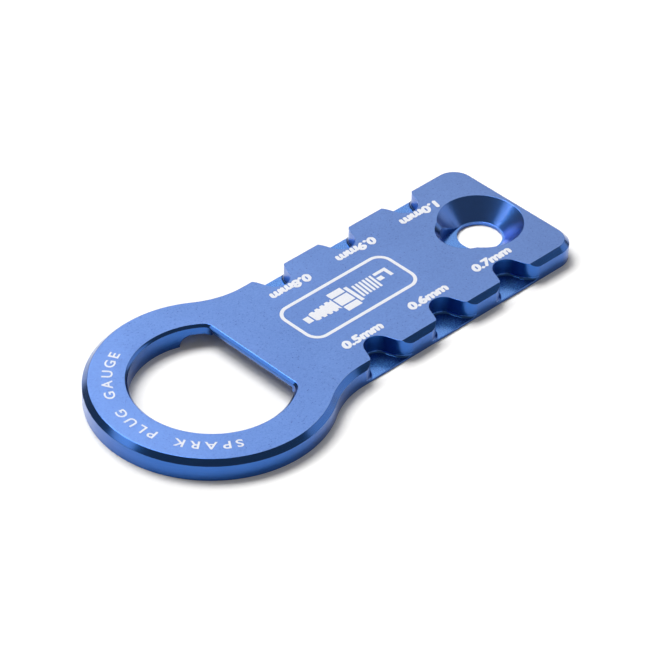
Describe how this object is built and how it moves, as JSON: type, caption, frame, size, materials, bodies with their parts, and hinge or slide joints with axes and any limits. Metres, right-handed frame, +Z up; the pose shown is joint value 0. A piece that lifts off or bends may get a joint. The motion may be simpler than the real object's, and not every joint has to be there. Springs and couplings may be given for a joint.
{
  "type": "spark plug gap gauge",
  "caption": "Flat one-piece gap gauge: notched plate with thin stepped gauging webs, a countersunk hang hole, and a ring end with a D-shaped bottle opener.",
  "frame": {"origin": "middle of the bounding box in plan, on the flat underside", "axes": "+X from the opener ring to the square end, +Z up out of the marked face, +Y towards the side of the three thicker webs"},
  "size_m": [0.1154, 0.0522, 0.0048],
  "materials": {
    "blue_anodised": "blue anodised, satin, fine bead-blasted top face and bright machined walls",
    "white_marking": "white laser marking in the anodised layer, matt"
  },
  "bodies": {
    "root": {"gauge_body": "blue_anodised"}
  },
  "joints": []
}
